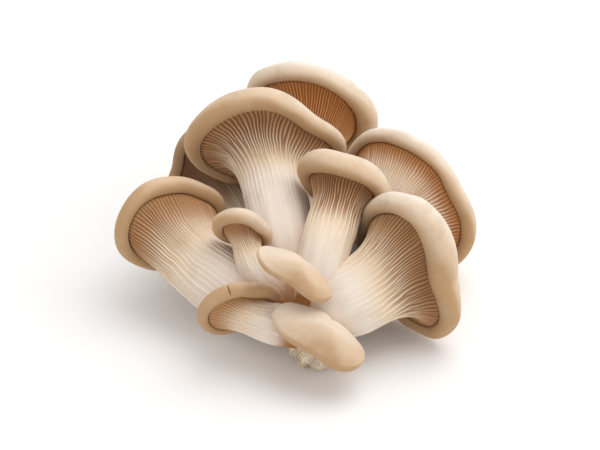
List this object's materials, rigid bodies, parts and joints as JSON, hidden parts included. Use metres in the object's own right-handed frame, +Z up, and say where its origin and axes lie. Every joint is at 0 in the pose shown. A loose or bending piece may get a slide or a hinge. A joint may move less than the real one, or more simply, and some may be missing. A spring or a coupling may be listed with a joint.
{
  "type": "oyster mushroom cluster",
  "caption": "Cluster of oyster mushrooms lying on its side, with tan caps of several sizes, rolled rims and cream gills that run down stems joined at one torn base.",
  "frame": {"origin": "on the surface the cluster lies on, under the middle of its bounding box", "axes": "+Z up, -Y towards the torn base and the viewer of the gills, +X to that viewer's right"},
  "size_m": [0.1462, 0.1554, 0.0869],
  "materials": {
    "cap_skin": "satin, smooth tan skin that is darker at the rim",
    "gill_flesh": "matte cream stem and gills with browner valleys",
    "torn_flesh": "matte, torn and fibrous pale flesh"
  },
  "bodies": {
    "root": {"base": "torn_flesh", "cap_tall": "cap_skin", "stem_tall": "gill_flesh", "cap_rear": "cap_skin", "stem_rear": "gill_flesh", "cap_right_rear": "cap_skin", "stem_right_rear": "gill_flesh", "cap_middle": "cap_skin", "stem_middle": "gill_flesh", "cap_right": "cap_skin", "stem_right": "gill_flesh", "cap_left": "cap_skin", "stem_left": "gill_flesh", "cap_button": "cap_skin", "stem_button": "gill_flesh", "cap_front_left": "cap_skin", "stem_front_left": "gill_flesh", "cap_folded": "cap_skin", "stem_folded": "gill_flesh", "cap_front": "cap_skin", "stem_front": "gill_flesh", "cap_left_rear": "cap_skin", "stem_left_rear": "gill_flesh"}
  },
  "joints": []
}
